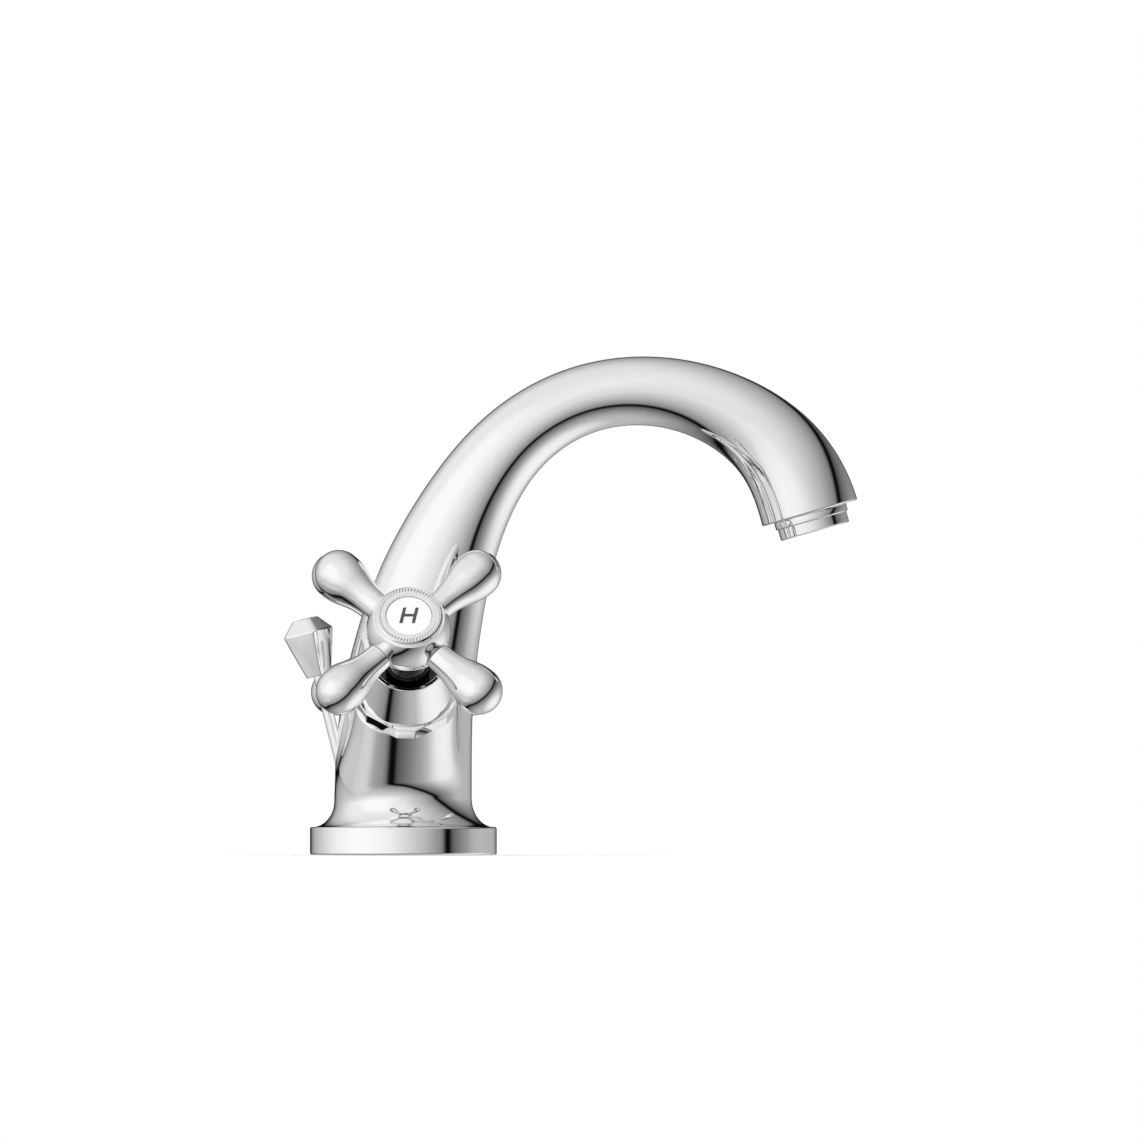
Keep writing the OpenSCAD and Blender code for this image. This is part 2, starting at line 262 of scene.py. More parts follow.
def mix_colour(nt, fac, c1, c2):
    r = nt.nodes.new("ShaderNodeValToRGB")
    r.color_ramp.elements[0].color = (*c1, 1)
    r.color_ramp.elements[1].color = (*c2, 1)
    nt.links.new(fac, r.inputs["Fac"])
    return r.outputs["Color"]


def metal(name, c1, c2, rough, wave=0.0, grain=260.0):
    """Polished or turned metal: fine roughness variation and a faint ripple."""
    m, nt, b = nodes_of(name)
    b.inputs["Metallic"].default_value = 1.0
    vec = coords(nt)
    n1 = noise(nt, vec, grain, 4.0)
    n2 = noise(nt, vec, 18.0, 2.0)
    nt.links.new(mix_colour(nt, n2, c1, c2), b.inputs["Base Color"])
    nt.links.new(ramp(nt, n1, rough[0], rough[1], 0.3, 0.7), b.inputs["Roughness"])
    bump(nt, b, n1, 0.02 + wave, 0.00002)
    return m


CHROME = metal("chrome_plate", (0.955, 0.957, 0.962), (0.975, 0.976, 0.98), (0.012, 0.03))
CHROME_FINE = metal("chrome_trim", (0.94, 0.943, 0.95), (0.965, 0.967, 0.972), (0.03, 0.055))
BRASS = metal("brass_turned", (0.62, 0.46, 0.22), (0.72, 0.55, 0.28), (0.18, 0.32), 0.2, 900.0)
# Near-black metal: painted shade for the headwork and spindle, which sit in the dark gap under the hub
DARK_METAL_PAINTED_SHADE = metal("painted_shade_dark_metal", (0.05, 0.05, 0.053), (0.08, 0.08, 0.083), (0.22, 0.34), 0.1, 700.0)
STEEL = metal("steel_plain", (0.52, 0.53, 0.55), (0.6, 0.61, 0.62), (0.2, 0.34), 0.15, 800.0)


def glazed(name, c1, c2, rough, coat):
    m, nt, b = nodes_of(name)
    vec = coords(nt)
    n1 = noise(nt, vec, 140.0, 3.0)
    n2 = noise(nt, vec, 900.0, 2.0)
    nt.links.new(mix_colour(nt, n1, c1, c2), b.inputs["Base Color"])
    nt.links.new(ramp(nt, n2, rough[0], rough[1], 0.3, 0.7), b.inputs["Roughness"])
    b.inputs["Coat Weight"].default_value = coat
    b.inputs["Coat Roughness"].default_value = 0.04
    bump(nt, b, n1, 0.05, 0.00003)
    return m


PORCELAIN = glazed("porcelain_glaze", (0.93, 0.93, 0.925), (0.97, 0.97, 0.965), (0.1, 0.16), 0.6)
CERAMIC = glazed("ceramic_disc", (0.82, 0.8, 0.76), (0.88, 0.86, 0.82), (0.25, 0.35), 0.1)
LETTER = glazed("letter_enamel", (0.045, 0.045, 0.048), (0.07, 0.07, 0.072), (0.3, 0.4), 0.2)


def matte(name, c1, c2, rough, grain=700.0):
    m, nt, b = nodes_of(name)
    vec = coords(nt)
    n1 = noise(nt, vec, grain, 4.0)
    n2 = noise(nt, vec, 60.0, 2.0)
    nt.links.new(mix_colour(nt, n2, c1, c2), b.inputs["Base Color"])
    nt.links.new(ramp(nt, n1, rough[0], rough[1], 0.3, 0.7), b.inputs["Roughness"])
    bump(nt, b, n1, 0.25, 0.00005)
    return m


RUBBER = matte("rubber_black", (0.018, 0.018, 0.019), (0.03, 0.03, 0.032), (0.55, 0.75))
PLASTIC = matte("plastic_moulded", (0.66, 0.67, 0.68), (0.72, 0.73, 0.74), (0.35, 0.5))

SLOT_MATERIAL = {"chrome": CHROME, "brass": BRASS, "porcelain": PORCELAIN,
                 "ceramic": CERAMIC, "rubber": RUBBER, "plastic": PLASTIC,
                 "steel": STEEL}


# ---------------------------------------------------------------- swan neck
# Control points of the neck's centre line: x, z, radius seen from the side,
# radius across.
NECK = np.array([
    [0.0, 24.0, 21.8, 21.8], [0.0, 33.8, 21.8, 21.8], [1.2, 52.9, 20.75, 18.0],
    [7.35, 81.8, 18.55, 12.1], [17.6, 108.6, 14.5, 12.8],
    [34.0, 133.7, 11.8, 11.9], [59.7, 148.45, 10.65, 11.1],
    [89.85, 148.7, 11.15, 11.4], [117.1, 135.15, 13.3, 13.3],
    [126.7, 119.95, 15.5, 15.5], [129.8, 109.0, 15.75, 15.75]])
NC = len(NECK)
KNOTS = np.r_[[0.0] * 4, np.arange(1, NC - 3), [NC - 3.0] * 4]
U_END = NC - 3.0


def basis(u, p, knots):
    u = np.clip(np.asarray(u, float), 0, U_END - 1e-9)
    n = len(knots) - 1
    B = [((u >= knots[i]) & (u < knots[i + 1])).astype(float) for i in range(n)]
    for d in range(1, p + 1):
        nb = []
        for i in range(n - d):
            t = 0
            if knots[i + d] > knots[i]:
                t = t + (u - knots[i]) / (knots[i + d] - knots[i]) * B[i]
            if knots[i + d + 1] > knots[i + 1]:
                t = t + (knots[i + d + 1] - u) / (knots[i + d + 1] - knots[i + 1]) * B[i + 1]
            nb.append(t)
        B = nb
    return np.stack([b * np.ones_like(u) for b in B], -1)


DCP = np.array([3 * (NECK[i + 1] - NECK[i]) / (KNOTS[i + 4] - KNOTS[i + 1])
                for i in range(NC - 1)])


def neck(u):
    return basis(u, 3, KNOTS) @ NECK


def neck_d(u):
    return basis(u, 2, KNOTS[1:-1]) @ DCP


TAB_U = np.linspace(0, U_END, 700)
TAB = neck(TAB_U)


def foot(x, z):
    """Parameter of the nearest point of the centre line, for points in XZ."""
    x, z = np.asarray(x, float), np.asarray(z, float)
    u = np.empty(len(x))
    for s in range(0, len(x), 20000):
        d = (x[s:s + 20000, None] - TAB[None, :, 0]) ** 2 + (z[s:s + 20000, None] - TAB[None, :, 1]) ** 2
        u[s:s + 20000] = TAB_U[d.argmin(1)]
    for _ in range(5):
        c, d = neck(u), neck_d(u)
        e = 1e-3
        dd = (neck_d(u + e) - neck_d(np.maximum(u - e, 0))) / (2 * e)
        rx, rz = c[:, 0] - x, c[:, 1] - z
        g = rx * d[:, 0] + rz * d[:, 1]
        h = d[:, 0] ** 2 + d[:, 1] ** 2 + rx * dd[:, 0] + rz * dd[:, 1]
        u = np.clip(u - g / np.maximum(h, 1.0), 0, U_END)
    return u


COLUMN_R, FLARE_LOW, FLARE_H, FLARE_W = 21.8, 8.8, 9.2, 7.2


def flare_r(z):
    """Radius of the column where it opens into the foot, a quarter ellipse."""
    ca = np.clip(1 - (np.asarray(z, float) - FLARE_LOW) / FLARE_H, 0, 1)
    return COLUMN_R + FLARE_W * (1 - np.sqrt(1 - ca ** 2))


def tube_value(x, y, z, u=None):
    """Signed distance, near the surface, to the neck and the column."""
    if u is None:
        u = foot(x, z)
    c, d = neck(u), neck_d(u)
    t = unit(d[:, :2])
    a = (x - c[:, 0]) * t[:, 1] - (z - c[:, 1]) * t[:, 0]
    grow = flare_r(z) / COLUMN_R
    ra, rb = c[:, 2] * grow, c[:, 3] * grow
    g = np.sqrt((a / ra) ** 2 + (y / rb) ** 2) + 1e-9
    return g * (g - 1) / (np.sqrt((a / ra ** 2) ** 2 + (y / rb ** 2) ** 2) + 1e-9)


def tube_point(u, th):
    c, d = neck(u), neck_d(u)
    t = unit(d[:, :2])
    a = c[:, 2] * np.cos(th)
    return np.stack([c[:, 0] + t[:, 1] * a, c[:, 3] * np.sin(th),
                     c[:, 1] - t[:, 0] * a], 1)


def tube_normal(u, th):
    e = 2e-4
    up, dn = np.minimum(u + e, U_END), np.maximum(u - e, 0)
    pu = tube_point(up, th) - tube_point(dn, th)
    pt = tube_point(u, th + e) - tube_point(u, th - e)
    return unit(np.cross(pt, pu))


# ---------------------------------------------------------------- valve places
RISE = math.radians(32.5)
OUT = np.array([0, -math.cos(RISE), math.sin(RISE)])
UP = np.array([0, math.sin(RISE), math.cos(RISE)])
VALVE = np.array([0.9, -4.0, 37.9])
SIDE = {"hot": Place(VALVE, (1, 0, 0), UP, OUT),
        "cold": Place(VALVE, (1, 0, 0), UP, OUT, mirror=True)}
HANDLE = {"hot": "hot_handle", "cold": "cold_handle"}
BODY = "faucet_body"
BOSS_L = 24.2


def smin(a, b, k):
    h = np.clip(0.5 + 0.5 * (b - a) / k, 0, 1)
    return b * (1 - h) + a * h - k * h * (1 - h)


def boss_value(x, y, z):
    """Signed distance to the two branches that carry the valves."""
    y = -np.abs(y)
    q = np.stack([x, y - VALVE[1], z - VALVE[2]], -1)
    t, v = q @ OUT, q @ UP
    w = q[..., 0] - 0.7 * np.clip((t - 2) / 22, 0, 1)
    w = w + 1.5 * (1 - np.exp(-(np.minimum(v, 0) / 10) ** 2))
    # wider towards the column on the lower side
    low = 1 - np.exp(-(np.minimum(v, 0) / 11) ** 2)
    rx = 16.5 + np.clip(BOSS_L - t, 0, 24) * (0.05 + 0.2 * low)
    rv = np.where(v >= 0, 15.5, 14.6 + 0.52 * (BOSS_L - t))
    # the lower half is a little flatter at the nose than an ellipse
    p = np.where(v >= 0, 2.0, 2.25)
    a, b = np.abs(w) / rx + 1e-9, np.abs(v) / rv + 1e-9
    g = (a ** p + b ** p) ** (1 / p)
    dw, dv = (a / g) ** (p - 1) / rx, (b / g) ** (p - 1) / rv
    f = (g - 1) / (np.sqrt(dw ** 2 + dv ** 2) + 1e-9)
    k = 0.7
    return -smin(-f, -(t - BOSS_L), k), t


def body_value(x, y, z, u=None):
    tube = tube_value(x, y, z, u)
    boss, t = boss_value(x, y, z)
    k = 1.4
    return smin(tube, boss, k)


def surface_nets(f, origin, h):
    nx = np.array(f.shape) - 1
    acc = np.zeros((*nx, 3))
    cnt = np.zeros(nx)
    crossings = []
    for ax in range(3):
        lo = tuple(slice(None, -1) if d == ax else slice(None) for d in range(3))
        hi = tuple(slice(1, None) if d == ax else slice(None) for d in range(3))
        a, b = f[lo], f[hi]
        cross = (a < 0) != (b < 0)
        idx = np.argwhere(cross)
        t = (a / (a - b))[cross]
        pos = idx.astype(float)
        pos[:, ax] += t
        crossings.append((ax, idx, (a < 0)[cross]))
        o = [d for d in range(3) if d != ax]
        for da in (0, 1):
            for db in (0, 1):
                c = idx.copy()
                c[:, o[0]] -= da
                c[:, o[1]] -= db
                ok = (c >= 0).all(1) & (c < nx).all(1)
                np.add.at(acc, tuple(c[ok].T), pos[ok])
                np.add.at(cnt, tuple(c[ok].T), 1)
    has = cnt > 0
    vid = -np.ones(has.shape, int)
    vid[has] = np.arange(has.sum())
    V = acc[has] / cnt[has][:, None] * h + origin
    cells = np.argwhere(has)
    quads = []
    for ax, idx, inside in crossings:
        o = [d for d in range(3) if d != ax]
        cs = []
        for da, db in ((0, 0), (1, 0), (1, 1), (0, 1)):
            c = idx.copy()
            c[:, o[0]] -= da
            c[:, o[1]] -= db
            cs.append(c)
        ok = np.ones(len(idx), bool)
        for c in cs:
            ok &= (c >= 0).all(1) & (c < nx).all(1)
        q = np.stack([vid[tuple(c[ok].T)] for c in cs], 1)
        ins = inside[ok] ^ (ax == 1)
        q[ins] = q[ins][:, ::-1]
        quads.append(q)
    return V, np.vstack(quads), cells


def open_loops(quads):
    """Chains of boundary edges, each as an ordered list of vertices."""
    e = {}
    for q in quads:
        for i in range(4):
            a, b = int(q[i]), int(q[(i + 1) % 4])
            if (b, a) in e:
                del e[(b, a)]
            else:
                e[(a, b)] = True
    nxt = {a: b for a, b in e}
    loops = []
    while nxt:
        a = next(iter(nxt))
        loop = [a]
        b = nxt.pop(a)
        while b != loop[0]:
            loop.append(b)
            b = nxt.pop(b)
        loops.append(loop)
    return loops


def make_body():
    S = Shape()
    h = 0.85
    lo = np.array([-26.35, -35.7, 14.0])
    n = np.array([66, 84, 79])
    gx = lo[0] + h * np.arange(n[0] + 1)
    gy = (np.arange(n[1] + 1) - n[1] / 2) * h
    gz = lo[2] + h * np.arange(n[2] + 1)
    X2, Z2 = np.meshgrid(gx, gz, indexing="ij")
    U2 = foot(X2.ravel(), Z2.ravel()).reshape(X2.shape)
    f = np.empty((n[0] + 1, n[1] + 1, n[2] + 1))
    for j, y in enumerate(gy):
        f[:, j, :] = body_value(X2.ravel(), np.full(X2.size, y), Z2.ravel(),
                                U2.ravel()).reshape(X2.shape)
    V, Q, cells = surface_nets(f, np.array([gx[0], gy[0], gz[0]]), h)

    def value(P):
        return body_value(P[:, 0], P[:, 1], P[:, 2])

    def grad(P):
        e = 0.01
        return np.stack([(value(P + d) - value(P - d)) / (2 * e)
                         for d in np.eye(3) * e], 1)

    for _ in range(4):
        g = grad(V)
        V = V - value(V)[:, None] * g / np.maximum((g ** 2).sum(1), 0.05)[:, None]
    loops = open_loops(Q)
    # even out the spacing along the surface, keeping the open rings
    fixed = np.zeros(len(V), bool)
    for lp in loops:
        fixed[lp] = True
    E = np.vstack([Q[:, [i, (i + 1) % 4]] for i in range(4)])
    for _ in range(3):
        s = np.zeros_like(V)
        c = np.zeros(len(V))
        np.add.at(s, E[:, 0], V[E[:, 1]])
        np.add.at(s, E[:, 1], V[E[:, 0]])
        np.add.at(c, E[:, 0], 1)
        np.add.at(c, E[:, 1], 1)
        W = s / np.maximum(c, 1)[:, None]
        W[fixed] = V[fixed]
        W = 0.5 * (W + V)
        for _ in range(2):
            g = grad(W)
            W = W - value(W)[:, None] * g / np.maximum((g ** 2).sum(1), 0.05)[:, None]
        W[fixed] = V[fixed]
        V = W
    N = unit(grad(V))
    mid = S.add(V, N)
    for q in Q:
        S.face(mid[q])
    loops.sort(key=lambda lp: V[lp, 2].mean())
    low, top = loops[0], loops[-1]

    # --- upper part: rings that turn square to the centre line
    P = V[top]
    u0 = foot(P[:, 0], P[:, 2])
    c, d = neck(u0), neck_d(u0)
    t = unit(d[:, :2])
    a = (P[:, 0] - c[:, 0]) * t[:, 1] - (P[:, 2] - c[:, 1]) * t[:, 0]
    th0 = np.unwrap(np.arctan2(P[:, 1] / c[:, 3], a / c[:, 2]))
    turn = 1 if th0[-1] > th0[0] else -1
    m = len(top)
    th1 = th0.mean() + turn * (np.arange(m) - (m - 1) / 2) * 2 * math.pi / m
    lip = 0.55
    end_speed = np.linalg.norm(neck_d(np.array([U_END]))[0, :2])
    u1 = U_END - lip / end_speed
    K = 200
    ring = mid[top]
    for k in range(1, K + 1):
        w = k / K
        u = u0 + (u1 - u0) * w
        ww = min(1, k / 26)
        ww = ww * ww * (3 - 2 * ww)
        th = th0 + (th1 - th0) * ww
        new = S.add(tube_point(u, th), tube_normal(u, th))
        S.strip(ring, new)
        ring = new
    # --- outlet: rounded lip, face and bore, in the outlet's own place
    c = neck(np.array([U_END]))[0]
    T = unit(neck_d(np.array([U_END]))[0, :2])
    Nx = np.array([T[1], 0, -T[0]])
    back = np.array([-T[0], 0, -T[1]])
    C = np.array([c[0], 0, c[1]])
    prof = fillet([(c[2] - 0.02, lip + 0.4, 0), (c[2], 0, lip), (12.0, 0, 0.25),
                   (12.0, 9.6, 0), (9.4, 9.6, 0), (9.4, 22, 0), (0.6, 22, 0)], 15)[2:]
    for i, (r, z) in enumerate(prof):
        i0, i1 = max(i - 1, 0), min(i + 1, len(prof) - 1)
        tg = prof[i1] - prof[i0]
        nr, nz = -tg[1], tg[0]
        cs, sn = np.cos(th1), np.sin(th1)
        radial = cs[:, None] * Nx + sn[:, None] * np.array([0, 1, 0])
        pts = C + radial * r + back * z
        nn = unit(radial * nr + back * nz)
        new = S.add(pts, nn)
        S.strip(ring, new, flat=i > 8)
        ring = new
    S.face(list(ring), True)

    # --- lower part: foot of the flare, rim and underside
    P = V[low]
    tl = np.unwrap(np.arctan2(P[:, 1], P[:, 0]))
    turn = 1 if tl[-1] > tl[0] else -1
    m = len(low)
    t1 = tl.mean() + turn * (np.arange(m) - (m - 1) / 2) * 2 * math.pi / m
    ring = mid[low]
    a0 = math.acos(1 - (13.1 - FLARE_LOW) / FLARE_H)
    steps = 22
    for k in range(steps + 1):
        a = a0 * (1 - k / steps)
        ww = min(1, (k + 1) / 10)
        th = tl + (t1 - tl) * ww
        r = COLUMN_R + FLARE_W * (1 - math.sin(a))
        z = FLARE_LOW + FLARE_H * (1 - math.cos(a))
        new = S.add(np.stack([r * np.cos(th), r * np.sin(th), np.full(m, z)], 1),
                    np.stack([FLARE_H * math.sin(a) * np.cos(th),
                              FLARE_H * math.sin(a) * np.sin(th),
                              np.full(m, FLARE_W * math.cos(a))], 1))
        S.strip(ring, new)
        ring = new
    cs, sn = np.cos(t1), np.sin(t1)
    rim = fillet([(29.0, 8.8, 0), (29.8, 8.8, 0.6), (29.8, 0, 0.5), (27, 0, 0)], 12)[1:]
    for i, (r, z) in enumerate(rim):
        if i == len(rim) - 1:
            nr, nz = 0, -1
        elif z > 8.21:
            nr, nz = r - 29.2, z - 8.2
        elif z < 0.49:
            nr, nz = r - 29.3, z - 0.5
        else:
            nr, nz = 1, 0
        new = S.add(np.stack([r * cs, r * sn, np.full(m, z)], 1),
                    np.stack([nr * cs, nr * sn, np.full(m, nz)], 1))
        S.strip(ring, new)
        ring = new
    for r, z in ((27, 1.6), (24, 1.6), (24, 0)):
        new = S.add(np.stack([r * cs, r * sn, np.full(m, z)], 1),
                    np.stack([0 * cs, 0 * sn, np.full(m, -1.0)], 1))
        S.strip(ring, new, True)
        ring = new
    V, N, F, flat = np.vstack(S.v), np.vstack(S.n), S.f, S.flat
    # underside with its inlets, stud hole and rod passage
    outer = list(ring)
    holes = [(0.9, 10.0, 4.5, 12, 1.0), (0.9, -10.0, 4.5, 12, 1.0),
             (14.0, 0.0, 3.4, 16, 1.0), (-12.7, 0.0, 3.4, 10, 1.0)]
    hole_rings = []
    base = len(V)
    addV, addN = [], []
    for hx, hy, hr, hd, _ in holes:
        kk = 40
        ang = np.arange(kk) * 2 * math.pi / kk
        tilt = math.tan(math.radians(14)) if hx < -10 else 0.0
        for z in (0.0, hd):
            addV.append(np.stack([hx - tilt * z + hr * np.cos(ang),
                                  hy + hr * np.sin(ang), np.full(kk, z)], 1))
            addN.append(np.stack([-np.cos(ang), -np.sin(ang), 0 * ang], 1))
        hole_rings.append((list(range(base, base + kk)),
                           list(range(base + kk, base + 2 * kk))))
        base += 2 * kk
    V = np.vstack([V] + addV)
    N = np.vstack([N] + addN)
    bm = bmesh.new()
    back_id = {}
    def ring_edges(ids):
        vs = []
        for i in ids:
            b = bm.verts.new(V[i])
            back_id[b] = i
            vs.append(b)
        return [bm.edges.new((vs[i], vs[(i + 1) % len(vs)])) for i in range(len(vs))]
    edges = ring_edges(outer)
    for a, _ in hole_rings:
        edges += ring_edges(a)
    bmesh.ops.triangle_fill(bm, use_beauty=True, edges=edges)
    for fc in bm.faces:
        ids = [back_id[v] for v in fc.verts]
        fc.normal_update()
        if fc.normal.z > 0:
            ids.reverse()
        F.append(ids)
        flat.append(True)
    bm.free()
    for a, b in hole_rings:
        kk = len(a)
        for j in range(kk):
            q = (j + 1) % kk
            F.append([a[j], b[j], b[q], a[q]])
            flat.append(False)
        F.append(list(reversed(b)))
        flat.append(True)
    return V, F, N, flat


V, F, N, FL = make_body()


bm = bmesh.new()
bvs = [bm.verts.new(p) for p in V]
for f in F:
    try:
        bm.faces.new([bvs[i] for i in f])
    except ValueError:
        pass
bm.verts.index_update()
bmesh.ops.recalc_face_normals(bm, faces=bm.faces)
open_edges = sum(1 for e in bm.edges if len(e.link_faces) != 2)
print("body: verts", len(bm.verts), "faces", len(bm.faces), "open edges", open_edges)
F2 = [[v.index for v in f.verts] for f in bm.faces]
bm.free()
body = to_object("body_casting_chrome", V, F2, N, FL, CHROME, BODY,
                 ["body_casting"])


# ---------------------------------------------------------------- bonnets
def trimmed_hex(theta):
    """Radius of the hexagon with its corners cut flat, edges a little rounded."""
    k = 18.0
    s = np.zeros_like(theta)
    for c, a0, count in ((15.9, 58.0, 6), (16.6, 28.0, 6)):
        for i in range(count):
            cs = np.cos(theta - math.radians(a0 + 60 * i))
            r = np.where(cs > 0.2, c / np.maximum(cs, 0.2), 1e3)
            s += np.exp(-k * (r - 16.0))
    return 16.0 - np.log(s) / k


def bonnet_mesh():
    n = 432
    th = np.arange(n) * 2 * math.pi / n
    hexr = trimmed_hex(th)
    rows = []
    e = 0.22
    def row(r, t):
        rows.append((np.broadcast_to(np.asarray(r, float), (n,)), t))
    low, high = BOSS_L, BOSS_L + 4.6
    row(14.05, low)
    row(hexr - e * 2, low)
    for a in (0, 30, 60, 90):
        row(hexr - e + e * math.sin(math.radians(a)), low + e - e * math.cos(math.radians(a)))
    for a in (0, 30, 60, 90):
        row(hexr - e + e * math.cos(math.radians(a)), high - e + e * math.sin(math.radians(a)))
    row(hexr - e * 2, high)
    prof = fillet([(15.4, high, 0), (15.2, high, 0.12), (12.1, 45.2, 0.3),
                   (10.8, 45.2, 0.3), (10.8, 44.2, 0), (13.8, high, 0),
                   (14.05, high - 0.2, 0), (14.05, low + 0.1, 0)], 14)
    for r, t in prof:
        row(r, t)
    V = np.vstack([np.stack([r * np.cos(th), r * np.sin(th), np.full(n, t)], 1)
                   for r, t in rows])
    F = []
    m = len(rows)
    for i in range(m):
        a, b = i * n, ((i + 1) % m) * n
        for j in range(n):
            k = (j + 1) % n
            F.append([a + j, a + k, b + k, b + j])
    return V, F


# ---------------------------------------------------------------- handles
ARM = [(12.3, 0), (12.3, 3.7), (12.42, 4.1), (12.7, 4.4), (13.1, 4.52),
       (15, 4.6), (17, 4.72), (19, 5.02), (21, 5.5), (23, 6.1), (25, 6.75),
       (27, 7.25), (29, 7.53), (31.2, 7.6), (33, 7.3), (34.6, 6.7),
       (36, 5.75), (37.2, 4.55), (38.1, 3.1), (38.6, 1.6), (38.8, 0)]


def smooth_line(pts, per=5):
    """Catmull-Rom line through the points."""
    P = np.asarray(pts, float)
    P = np.vstack([2 * P[0] - P[1], P, 2 * P[-1] - P[-2]])
    out = []
    for i in range(1, len(P) - 2):
        p0, p1, p2, p3 = P[i - 1:i + 3]
        for j in range(per):
            u = j / per
            out.append(0.5 * (2 * p1 + (p2 - p0) * u + (2 * p0 - 5 * p1 + 4 * p2 - p3) * u * u
                              + (3 * p1 - p0 - 3 * p2 + p3) * u ** 3))
    out.append(P[-2])
    return np.array(out)


def arm_outline():
    """Stem by a smooth line, ball end by a true arc, so that it shines evenly."""
    body_pts = smooth_line([(13.1, 4.52), (15, 4.6), (17, 4.72), (19, 5.02), (21, 5.5),
                            (23, 6.1), (25, 6.75), (27, 7.25), (29, 7.53), (31.2, 7.6)], 6)
    arc = []
    for a in np.linspace(0, 90, 30)[1:]:
        a = math.radians(a)
        arc.append((31.2 + 7.6 * math.sin(a), 7.6 * math.cos(a)))
    head = [(12.3, 0.0), (12.3, 3.6), (12.36, 3.95), (12.55, 4.25), (12.8, 4.44)]
    pts = head + [tuple(p) for p in body_pts] + arc
    pts[-1] = (38.8, 0.0)
    return np.array([(r, z) for z, r in pts])


def boolean(name, V, F, cutters):
    """V, F with the cutter meshes taken out, solved exactly."""
    def temp(nm, v, f):
        me = bpy.data.meshes.new(nm)
        me.from_pydata(v.tolist(), [], [list(x) for x in f])
        o = bpy.data.objects.new(nm, me)
        scene.collection.objects.link(o)
        return o
    o = temp(name, V, F)
    cs = [temp(name + "_c%d" % i, v, f) for i, (v, f) in enumerate(cutters)]
    for c in cs:
        md = o.modifiers.new("cut", "BOOLEAN")
        md.operation = "DIFFERENCE"
        md.solver = "EXACT"
        md.object = c
    dg = bpy.context.evaluated_depsgraph_get()
    me = bpy.data.meshes.new_from_object(o.evaluated_get(dg))
    v = np.array([x.co for x in me.vertices], float)
    f = [list(p.vertices) for p in me.polygons]
    for x in [o] + cs:
        bpy.data.objects.remove(x)
    return v, f


def hub_outline():
    R, c = 13.45, 62.5
    def rr(t):
        return math.sqrt(R * R - (t - c) ** 2)
    pts = [(4.02, 54.4)]
    lo = 54.9
    pts += [(rr(54.4) - 0.45, 54.4), (rr(54.4) - 0.2, 54.46), (rr(54.6) - 0.02, 54.62)]
    for a in np.linspace(math.asin((lo - c) / R), math.asin((69.55 - c) / R), 72):
        pts.append((R * math.cos(a), c + R * math.sin(a)))
    top = pts[-1]
    pts += [(top[0] - 0.12, 69.6), (8.0, 69.6), (8.0, 65.5), (2.7, 65.5),
            (2.7, 63.5), (4.02, 63.5)]
    return np.array(pts)


def hub_mesh():
    V, F = lathe(hub_outline(), 200, closed=True)
    F = [list(reversed(f)) for f in F] if volume(V, F) < 0 else F
    cutters = []
    for k in range(4):
        a = math.radians(45 + 90 * k)
        d = np.array([math.cos(a), math.sin(a), 0])
        s = np.array([-math.sin(a), math.cos(a), 0])
        n = 64
        ph = np.arange(n) * 2 * math.pi / n
        c0 = np.array([0, 0, 61.0])
        ringv = lambda q: c0 + d * q + 5.0 * (np.cos(ph)[:, None] * s + np.sin(ph)[:, None] * np.array([0, 0, 1]))
        v = np.vstack([ringv(12.3), ringv(18.0)])
        f = [list(range(n))[::-1], list(range(n, 2 * n))]
        f += [[j, (j + 1) % n, n + (j + 1) % n, n + j] for j in range(n)]
        if volume(v, f) < 0:
            f = [list(reversed(x)) for x in f]
        cutters.append((v, f))
    V, F = boolean("hubtmp", V, F, cutters)
    return V, F


def volume(V, F):
    V = np.asarray(V, float)
    t = 0.0
    for f in F:
        p = V[f]
        for i in range(1, len(f) - 1):
            t += np.dot(p[0], np.cross(p[i], p[i + 1]))
    return t / 6


def hub_loops(V, F, place):
    """Normal of each face corner: the ball's own where the face is ball."""
    c = np.array([0, 0, 62.5])
    out = []
    for f in F:
        p = V[f]
        n = np.zeros(3)
        for i in range(1, len(f) - 1):
            n += np.cross(p[i] - p[0], p[i + 1] - p[0])
        n = unit(n)
        m = p.mean(0) - c
        rad = np.linalg.norm(m)
        if rad > 13.2 and n @ (m / rad) > 0.97:
            out += [unit(q - c) for q in p]
        else:
            out += [n] * len(f)
    return np.array(out)


def set_loop_normals(o, LN):
    o.data.normals_split_custom_set(LN.tolist())


def turn_to_world(place, n):
    w = n @ place.m
    if place.mirror:
        w = w * np.array([1, -1, 1])
    return w


BV, BF = bonnet_mesh()
if volume(BV, BF) < 0:
    BF = [list(reversed(f)) for f in BF]
AV, AF = lathe(arm_outline(), 112)
if volume(AV, AF) < 0:
    AF = [list(reversed(f)) for f in AF]
HV, HF = hub_mesh()
HL = hub_loops(HV, HF, None)


def ring_mesh():
    """Index ring: body, bright lip, and a fine rope bead set in its face."""
    pts = fillet([(7.35, 66.7, 0), (10.75, 66.7, 0.2), (10.75, 70.6, 0.55),
                  (10.2, 71.2, 0.0), (10.05, 71.22, 0.1), (9.95, 70.95, 0),
                  (9.0, 70.95, 0), (8.85, 71.15, 0.12), (7.55, 71.15, 0.12),
                  (7.35, 70.7, 0)], 14)
    V, F = lathe(pts, 180, closed=True)
    if volume(V, F) < 0:
        F = [list(reversed(f)) for f in F]
    n, k = 960, 14
    th = np.arange(n) * 2 * math.pi / n
    ph = np.arange(k) * 2 * math.pi / k
    T, Pp = np.meshgrid(th, ph, indexing="ij")
    r0 = 0.4 + 0.15 * np.cos(60 * T - 1.0 * Pp)
    x = 9.48 + r0 * np.cos(Pp)
    v = np.stack([x * np.cos(T), x * np.sin(T), 70.9 + 0.9 * r0 * np.sin(Pp)], -1).reshape(-1, 3)
    f = []
    for i in range(n):
        for j in range(k):
            a, b = i, (i + 1) % n
            c, d = j, (j + 1) % k
            f.append([a * k + c, b * k + c, b * k + d, a * k + d])
    if volume(v, f) < 0:
        f = [list(reversed(q)) for q in f]
    return V, F, v, f


RV, RF, QV, QF = ring_mesh()


